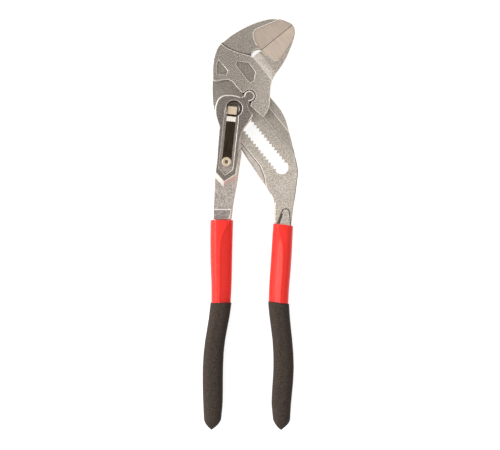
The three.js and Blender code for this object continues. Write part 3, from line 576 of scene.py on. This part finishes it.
def rims(work, chosen):
    """Sharp outer edges between a flat and a wall that are to be broken."""
    found = []
    for rim in work.edges:
        if len(rim.link_faces) == 2 and rim.is_convex:
            flat, wall = flat_and_wall(rim)
            if abs(wall.normal.z) < RIM_WALL and abs(flat.normal.z) > FLAT and chosen(flat, wall):
                found.append(rim)
    return found


def bevelled(work, edges, width, segments, clamp):
    made = bmesh.ops.bevel(
        work, geom=edges, offset=width, offset_type="OFFSET", segments=segments, profile=0.5,
        affect="EDGES", clamp_overlap=clamp,
    )
    bmesh.ops.recalc_face_normals(work, faces=work.faces)
    return made["faces"]


def band_edges(work, chosen):
    """Start, run, inward direction and side of each chosen edge of a flat."""
    found = []
    for rim in work.edges:
        if len(rim.link_faces) == 2:
            flat, wall = flat_and_wall(rim)
            if abs(flat.normal.z) > FLAT and chosen(rim, flat, wall):
                corner = next(loop for loop in rim.link_loops if loop.face == flat)
                start = corner.vert.co.copy()
                run = corner.link_loop_next.vert.co - start
                found.append((start, run, flat.normal.cross(run).normalized(), flat.normal.z))
    return found


def same_flat(face, start, side):
    level = abs(face.calc_center_median().z - start.z) < LEVEL_TOLERANCE
    return level and face.normal.z * side > FLAT


def crosses(face, start, run, inward, width):
    """Whether the inner line of a band runs through a face."""
    reach = [(corner.co - start).dot(run) / run.length_squared for corner in face.verts]
    depth = [(corner.co - start).dot(inward) for corner in face.verts]
    return min(reach) < 1.0 and max(reach) > 0.0 and min(depth) < width < max(depth)


def inside_band(face, start, run, inward, width):
    offset = face.calc_center_median() - start
    return 0.0 < offset.dot(run) / run.length_squared < 1.0 and 0.0 < offset.dot(inward) < width


def lay_bands(work, chosen, width):
    """Cut a narrow band into the flats along the chosen edges, and return its faces."""
    edges = band_edges(work, chosen)
    for start, run, inward, side in edges:
        cut = [
            face for face in work.faces
            if same_flat(face, start, side) and crosses(face, start, run, inward, width)
        ]
        around = dict.fromkeys(part for face in cut for part in (*face.edges, *face.verts))
        bmesh.ops.bisect_plane(
            work, geom=cut + list(around), dist=CUT_TOLERANCE,
            plane_co=start + inward * width, plane_no=inward,
        )
    return [
        face for face in work.faces
        if any(
            inside_band(face, start, run, inward, width) and same_flat(face, start, side)
            for start, run, inward, side in edges
        )
    ]


def any_rim(flat, wall):
    return True


def forging(node, name, body, materials, skin_of, rim=None, chosen=any_rim, bands=()):
    """Packed forging; skin_of gives the material of a face that isn't in a band or on a broken edge.

    rim is the material of the broken edges. Without it they stay sharp."""
    work = clean_copy(node, join=rim is not None)
    skins = {}
    for picked, width, material in bands:
        skins.update((face, material) for face in lay_bands(work, picked, width))
    if rim is not None:
        broken = bevelled(work, rims(work, chosen), RIM_WIDTH, RIM_SEGMENTS, False)
        skins.update((face, rim) for face in broken)
    work.normal_update()
    for face in work.faces:
        material = skins[face] if face in skins else skin_of(face)
        face.material_index = materials.index(material)
    fit(new_piece(name, finished(work, name), materials), body, node)


# Edges of the forgings that are broken or banded; the bands are painted highlight lines and painted shade
# lines
def ground_step(flat, wall):
    """Step round a ground flat, apart from the side whose wall turns to the left."""
    return at_level(flat, JAW_TOP) and touches(wall, GROUND_TOP) and wall.normal.x > TURNED_LEFT


def plate_rim(flat, wall):
    return at_level(flat, PLATE_TOP) or ground_step(flat, wall)


def panel_step(flat, wall):
    return at_level(flat, SHANK_LEVEL) and touches(wall, PANEL_LEVEL) and is_wall(wall)


def lever_rim(flat, wall):
    return not panel_step(flat, wall)


def leg_highlit(rim, flat, wall):
    """Painted highlight lines of the leg: round its ground flat and along the rib."""
    if not rim.is_convex or not is_wall(wall):
        return False
    beyond = (flat.calc_center_median() - PIVOT).dot(ALONG_JAW) > RIB_START
    rib = beyond and wall.normal.dot(ALONG_JAW) < -SQUARE_ON
    return ground_step(flat, wall) or (at_level(flat, WEB_TOP) and rib)


# bright band along the flange step: painted highlight
def flange_highlit(rim, flat, wall):
    return rim.is_convex and is_wall(wall) and at_level(flat, WEB_TOP) and touches(wall, FLANGE_TOP)


def leg_shaded(rim, flat, wall):
    """Dark lines of the leg: at the foot of the flange step and on its rounded right edge."""
    if not is_wall(wall):
        return False
    centre = wall.calc_center_median()
    right = centre.x > RIGHT_EDGE_LEFT and RIGHT_EDGE_RUN[0] < centre.y < RIGHT_EDGE_RUN[1]
    outer = rim.is_convex and right and wall.normal.x > TURNED_RIGHT
    corner = not rim.is_convex and at_level(flat, FLANGE_TOP)
    return corner or (outer and (at_level(flat, WEB_TOP) or at_level(flat, GROOVE_FLOOR)))


def lever_highlit(rim, flat, wall):
    """Painted highlight lines of the lever along its slopes."""
    return rim.is_convex and is_sloped(wall)


# bright band along the panel step: painted highlight
def panel_highlit(rim, flat, wall):
    return rim.is_convex and panel_step(flat, wall)


def panel_shaded(rim, flat, wall):
    return not rim.is_convex and at_level(flat, PANEL_LEVEL) and wall.normal.y < TURNED_DOWN


# Skins of the forgings
def leg_skin(face):
    centre = face.calc_center_median()
    reach = centre - PIVOT
    if at_level(face, GROUND_TOP):
        return ground
    # the boss's sloped walls get painted shade
    if is_sloped(face) and centre.y < BOSS_HEIGHT and centre.x > BOSS_LEFT:
        return shadow_wall_steel
    # slopes on this side of the leg get a painted highlight
    if is_sloped(face) and reach.dot(OPENING) < 0.0:
        return edge
    # the flange and the slopes behind the pivot get a painted highlight
    if at_level(face, FLANGE_TOP) or (is_sloped(face) and reach.dot(ALONG_JAW) < 0.0):
        return flange_highlight_steel
    # the groove floor and remaining slopes get painted shade
    return groove_shade_steel if at_level(face, GROOVE_FLOOR) or is_sloped(face) else leg_steel


def jaw_skin(face):
    centre = face.calc_center_median()
    reach = (centre - PIVOT).dot(ALONG_JAW)
    # the sliding jaw's ground flat takes the painted-light copy
    if at_level(face, GROUND_TOP):
        return ground_lit
    # pocket floors get painted shade
    if at_level(face, POCKET_FLOOR):
        return pocket_floor_shade
    # the pocket walls get painted shade
    if is_wall(face) and POCKET_FLOOR < centre.z < PLATE_TOP:
        return shadow_wall_steel
    # slopes short of the cove's far edge get a painted highlight
    if reach < COVE_EDGE and is_sloped(face):
        return edge
    # the cove gets a painted highlight
    if COVE_START < reach < COVE_END and not at_level(face, JAW_TOP):
        return cove_highlight_steel
    return jaw_steel if reach > COVE_START else plate_steel


def lever_skin(face):
    if at_level(face, PANEL_LEVEL):
        return panel_steel
    # right-facing slopes get painted shade, the others a painted highlight
    if is_sloped(face):
        return right_slope_shade if face.normal.x > SLOPED_RIGHT else edge
    return lever_plate if face.calc_center_median().z > LEVER_SKIN_ABOVE else shank_steel


def plain(material):
    """Skin of one material all over."""
    return lambda face: material


# Forgings and turned pins
forging(
    "fixed_jaw_leg", "fixed_jaw_forging", "fixed_leg",
    [leg_steel, edge, ground, shadow_wall_steel, flange_highlight_steel, groove_shade_steel, shade_line, highlight_line], leg_skin,
    bands=[
        (leg_highlit, RIM_WIDTH, highlight_line),
        (flange_highlit, HIGHLIGHT_BAND_WIDTH, highlight_line),
        (leg_shaded, SHADED_WIDTH, shade_line),
    ],
)
forging(
    "sliding_jaw", "sliding_jaw_forging", "jaw",
    [plate_steel, edge, ground_lit, jaw_steel, pocket_floor_shade, shadow_wall_steel, cove_highlight_steel], jaw_skin,
    edge, plate_rim,
)
forging(
    "lever_leg", "lever_forging", "lever",
    [lever_plate, edge, shank_steel, panel_steel, right_slope_shade, shade_line, highlight_line], lever_skin,
    edge, lever_rim,
    bands=[
        (lever_highlit, RIM_WIDTH, highlight_line),
        (panel_highlit, HIGHLIGHT_BAND_WIDTH, highlight_line),
        (panel_shaded, SHADED_WIDTH, shade_line),
    ],
)
# the bush body gets the painted shade
forging(
    "pivot_bush", "bush_sleeve", "pivot",
    [bush_shade, bush_steel], plain(bush_shade), bush_steel,
)
forging(
    "locking_bolt", "notched_bolt", "bolt",
    [dark_pin, bush_steel], plain(dark_pin), bush_steel,
)
forging(
    "push_button", "release_button", "bolt",
    [dark_pin, bush_steel], plain(dark_pin), bush_steel,
)


# Leaf spring: rounded bends, a run painted dark as a dark reflection, a painted highlight on the hump,
# and a warm pad
def is_bend(rim, across):
    direction = (rim.verts[1].co - rim.verts[0].co).normalized()
    angle = rim.calc_face_angle(math.pi)
    return abs(direction.dot(across)) > SQUARE_ON and BEND_RANGE[0] < angle < BEND_RANGE[1]


def spring_skin(face):
    down = (face.calc_center_median() - PIVOT).dot(SPRING_DOWN)
    # painted highlight on the hump, painted dark reflection on the rest of the run
    if down < PAD_RUN:
        return strip_gold
    return strip_highlight if HUMP_RUN[0] < down < HUMP_RUN[1] else strip_dark_reflection


def leaf_spring(node, name, body):
    materials = [strip_dark_reflection, strip_highlight, strip_gold]
    work = clean_copy(node)
    across = SPRING_DOWN.cross(UP)
    bends = [rim for rim in work.edges if is_bend(rim, across)]
    bevelled(work, bends, BEND_RADIUS, BEND_SEGMENTS, True)
    for face in work.faces:
        face.smooth = True
        face.material_index = materials.index(spring_skin(face))
    for rim in work.edges:
        rim.smooth = rim.calc_face_angle(math.pi) < SPRING_SHARP
    fit(new_piece(name, to_mesh(work, name), materials), body, node)


leaf_spring("leaf_spring", "spring_strip", "spring")


# Rings of points joined into one closed skin
def loft(name, rings):
    work = bmesh.new()
    loops = [[work.verts.new(point) for point in ring] for ring in rings]
    count = len(rings[0])
    for upper, lower in zip(loops, loops[1:]):
        for i in range(count):
            j = (i + 1) % count
            work.faces.new((upper[i], upper[j], lower[j], lower[i]))
    work.faces.new(loops[0])
    work.faces.new(loops[-1])
    bmesh.ops.recalc_face_normals(work, faces=work.faces)
    for face in work.faces:
        face.smooth = len(face.verts) == 4
    return to_mesh(work, name)


# Screw with a rounded head and a six-sided socket
def strip_screw(node, name, body):
    materials = [screw_plating, screw_socket_shade]
    low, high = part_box(node)
    centre = (low + high) / 2
    radius = (high.x - low.x) / 2
    top = high.z

    def ring(z, reach_at):
        points = []
        for i in range(SCREW_SIDES):
            turn = 2 * math.pi * i / SCREW_SIDES
            reach = reach_at(turn)
            points.append((centre.x + reach * math.cos(turn), centre.y + reach * math.sin(turn), z))
        return points

    def circle(size, z):
        return ring(z, lambda turn: size)

    def hexagon(size, z):
        return ring(z, lambda turn: size / math.cos(turn % SOCKET_SIDE - SOCKET_SIDE / 2))

    rings = [
        circle(SHANK_SHARE * radius, low.z),
        circle(SHANK_SHARE * radius, top - HEAD_HEIGHT),
        circle(radius, top - HEAD_HEIGHT),
    ]
    for step in range(HEAD_STEPS + 1):
        angle = math.pi / 2 * step / HEAD_STEPS
        size = radius - HEAD_ROUND * (1 - math.cos(angle))
        rings.append(circle(size, top - HEAD_ROUND * (1 - math.sin(angle))))
    rings.append(circle(SOCKET_FLAT * DISH_SHARE, top - DISH_DEPTH))
    rings.append(hexagon(SOCKET_FLAT * CHAMFER_SHARE, top - CHAMFER_DEPTH))
    rings.append(hexagon(SOCKET_FLAT, top - SOCKET_DEPTH))
    mesh = loft(name, rings)
    mesh.set_sharp_from_angle(angle=SCREW_SHARP)
    for face in mesh.polygons:
        off_centre = Vector((face.center.x - centre.x, face.center.y - centre.y))
        # faces inside the socket get the painted shade
        inside = off_centre.length < SOCKET_FLAT * SOCKET_SHADE_SHARE and face.center.z > top - SOCKET_SHADE_DEPTH
        face.material_index = materials.index(screw_socket_shade if inside else screw_plating)
    fit(new_piece(name, mesh, materials), body, node)


strip_screw("spring_screw", "strip_screw", "lever")


# Grips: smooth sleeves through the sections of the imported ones
def crossing(node, y):
    """Least and greatest x of a packed sleeve where the plane y cuts it."""
    mesh = nodes[node].data
    found = []
    for link in mesh.edges:
        a, b = (mesh.vertices[index].co for index in link.vertices)
        if (a.y - y) * (b.y - y) <= 0 and abs(a.y - b.y) > LEAST_RISE:
            found.append(a.lerp(b, (y - a.y) / (b.y - a.y)).x)
    return min(found), max(found)


def smooth_through(stations, values):
    """Catmull-Rom curve through evenly spaced stations, straight beyond its ends."""
    first, step, last = stations[0], stations[1] - stations[0], len(values) - 1

    def curve(y):
        t = (y - first) / step
        if t < 0.0:
            return values[0] + (values[1] - values[0]) * t
        if t > last:
            return values[last] + (values[last] - values[last - 1]) * (t - last)
        i = min(int(t), last - 1)
        t -= i
        p0, p1, p2, p3 = (values[min(max(k, 0), last)] for k in (i - 1, i, i + 1, i + 2))
        bend = 2 * p0 - 5 * p1 + 4 * p2 - p3
        twist = 3 * p1 - p0 - 3 * p2 + p3
        return p1 + 0.5 * ((p2 - p0) * t + bend * t ** 2 + twist * t ** 3)

    return curve


def side_curves(node, top, bottom, count):
    """Curves of the left and right sides of a packed sleeve between two heights."""
    stations = [top + (bottom - top) * i / count for i in range(count + 1)]
    lefts, rights = zip(*(crossing(node, y) for y in stations))
    return smooth_through(stations, lefts), smooth_through(stations, rights)


def mouth(node, slope):
    """Middle height of a sleeve's slanted mouth, and the height below which level cuts are whole."""
    low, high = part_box(node)
    whole = high.y - abs(slope) * (high.x - low.x) - MOUTH_MARGIN
    left, right = crossing(node, whole)
    return high.y - abs(slope) * (right - left) / 2, whole


def rounded(i):
    """Place across and height, each from -1 to 1, of a point of a rounded section."""
    angle = 2 * math.pi * i / GRIP_SIDES
    across = math.cos(angle)
    height = (1 - abs(across) ** GRIP_POWER) ** (1 / GRIP_POWER)
    return across, math.copysign(height, math.sin(angle))


def grip_ring(left, right, y, slope, depth, inset, facet):
    """One rounded section; facet gives how far its inner side is flattened at a place across it."""
    ring = []
    for i in range(GRIP_SIDES):
        s, height = rounded(i)
        here = y + slope * s * (right(y) - left(y)) / 2
        half = (right(here) - left(here)) / 2 - inset
        x = (left(here) + right(here)) / 2 + s * half
        z = height * (depth / 2 - inset) * (1 - facet(s))
        ring.append((min(max(x, CAD_LOW.x), CAD_HIGH.x), here, MID_Z + z))
    return ring


def tip_ring(middle, half, y, rise):
    ring = []
    for i in range(GRIP_SIDES):
        across, up = rounded(i)
        ring.append((middle + half * across, y, MID_Z + rise * up))
    return ring


def flat_facet(side, below):
    """Flattened inner half with a beaded ridge that runs out to the side near the mouth of the sleeve."""
    ridge = FACET_RIDGE + RIDGE_SWEEP * math.exp(-below / FACET_RUN_OUT)

    def cut(s):
        over = side * s - ridge
        bead = BEAD_RISE * math.exp(-(over / BEAD_WIDTH) ** 2)
        return FACET_DEPTH * 0.5 * (over + math.sqrt(over * over + FACET_SOFTNESS)) - bead

    return cut


def no_facet(s):
    return 0.0


def lip_rings(left, right, top, slope, depth, facet_at):
    """Rounded mouth of a sleeve."""
    rings = []
    for step in range(LIP_STEPS):
        angle = math.pi / 2 * step / (LIP_STEPS - 1)
        inset = LIP_RADIUS * (1 - math.sin(angle))
        y = top - LIP_RADIUS * (1 - math.cos(angle))
        rings.append(grip_ring(left, right, y, slope, depth, inset, facet_at(y)))
    return rings


def red_sleeve(node, name, body, slope, side):
    top, whole = mouth(node, slope)
    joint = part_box(node)[0].y + GRIP_LAP
    left, right = side_curves(node, whole, joint + LAP_MARGIN, RED_STATIONS)

    def facet_at(y):
        return flat_facet(side, top - y)

    rings = lip_rings(left, right, top, slope, RED_DEPTH, facet_at)
    start = top - LIP_RADIUS
    end = joint - TUCK
    for step in range(1, RED_STEPS + 1):
        y = start + (end - start) * step / RED_STEPS
        rings.append(grip_ring(left, right, y, slope, RED_DEPTH, 0.0, facet_at(y)))
    fit(new_piece(name, loft(name, rings), [red]), body, node)


def black_sleeve(node, name, body, slope):
    top, whole = mouth(node, slope)
    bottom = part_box(node)[0].y
    tip_start = bottom + TIP_LENGTH
    left, right = side_curves(node, whole, tip_start, BLACK_STATIONS)
    rings = lip_rings(left, right, top, slope, GRIP_DEPTH, lambda y: no_facet)
    start = top - LIP_RADIUS
    for step in range(1, BLACK_STEPS + 1):
        y = start + (tip_start - start) * step / BLACK_STEPS
        turn = slope * (1 - step / BLACK_STEPS)
        rings.append(grip_ring(left, right, y, turn, GRIP_DEPTH, 0.0, no_facet))
    half = (right(tip_start) - left(tip_start)) / 2
    tip_left, tip_right = side_curves(node, tip_start, bottom + TIP_MARGIN, TIP_STATIONS)
    for step in range(1, TIP_STEPS):
        t = math.sin(math.pi / 2 * step / TIP_STEPS)
        y = tip_start + (bottom - tip_start) * t
        middle = (tip_left(y) + tip_right(y)) / 2
        scale = 1 - t * t
        rings.append(tip_ring(middle, half * scale, y, GRIP_DEPTH / 2 * scale))
    fit(new_piece(name, loft(name, rings), [black]), body, node)


red_sleeve("left_inner_grip", "left_red_sleeve", "lever", 0.0, 1)
red_sleeve("right_inner_grip", "right_red_sleeve", "fixed_leg", MOUTH_SLOPE, -1)
black_sleeve("left_outer_grip", "left_black_sleeve", "lever", 0.0)
black_sleeve("right_outer_grip", "right_black_sleeve", "fixed_leg", MOUTH_SLOPE)


# Stage
def white_floor():
    """Pale floor that keeps its shadows and looks white to the camera and in reflections."""
    material, tree, shader = new_material("white_floor")
    shader.inputs["Base Color"].default_value = FLOOR_COLOUR
    shader.inputs["Roughness"].default_value = FLOOR_ROUGHNESS
    shader.inputs["Specular IOR Level"].default_value = 0.0
    path = tree.nodes.new("ShaderNodeLightPath")
    seen = tree.nodes.new("ShaderNodeMath")
    seen.operation = "MAXIMUM"
    tree.links.new(path.outputs["Is Camera Ray"], seen.inputs[0])
    tree.links.new(path.outputs["Is Glossy Ray"], seen.inputs[1])
    glow = tree.nodes.new("ShaderNodeMath")
    glow.operation = "MULTIPLY"
    glow.inputs[1].default_value = FLOOR_GLOW
    tree.links.new(seen.outputs[0], glow.inputs[0])
    shader.inputs["Emission Color"].default_value = WHITE
    tree.links.new(glow.outputs[0], shader.inputs["Emission Strength"])
    return material


floor_mesh = bpy.data.meshes.new("floor")
floor_corners = [(x * FLOOR_HALF, y * FLOOR_HALF, 0.0) for x, y in ((-1, -1), (1, -1), (1, 1), (-1, 1))]
floor_mesh.from_pydata(floor_corners, [], [(0, 1, 2, 3)])
floor = new_piece("floor", floor_mesh, [white_floor()])
floor.location.z = -FLOOR_DROP


# Light: a soft sky that is dimmer overhead and on the right, and three large lamps
def studio_sky():
    world = bpy.data.worlds.new("studio")
    bpy.context.scene.world = world
    world.use_nodes = True
    tree = world.node_tree
    back = tree.nodes["Background"]
    where = tree.nodes.new("ShaderNodeTexCoord").outputs["Generated"]
    rise = ramp(tree, along(tree, where, "Z"), [(at, grey(level)) for at, level in SKY_RISE])
    across = remap(tree, along(tree, where, "X"), (-1.0, 1.0), (0.0, 1.0))
    sides = ramp(tree, across, [(at, grey(level)) for at, level in SKY_ACROSS])
    tree.links.new(multiply(tree, rise, sides), back.inputs["Color"])
    back.inputs["Strength"].default_value = SKY_STRENGTH


def lamp(name, location, size, watts, in_gloss):
    data = bpy.data.lights.new(name, "AREA")
    data.shape = "DISK"
    data.size = size
    data.energy = watts
    light = bpy.data.objects.new(name, data)
    light.location = location
    light.rotation_euler = (-Vector(location)).to_track_quat("-Z", "Y").to_euler()
    light.visible_glossy = in_gloss
    bpy.context.scene.collection.objects.link(light)


studio_sky()
for row in LAMPS:
    lamp(*row)

# Camera
camera_data = bpy.data.cameras.new("camera")
camera_data.lens = LENS
camera_data.sensor_width = SENSOR
camera_data.sensor_fit = "HORIZONTAL"
camera = bpy.data.objects.new("camera", camera_data)
camera.location = (*VIEW_CENTRE, MID_Z + VIEW_WIDTH * LENS / SENSOR)
bpy.context.scene.collection.objects.link(camera)
bpy.context.scene.camera = camera
bpy.context.scene.view_settings.view_transform = "Standard"
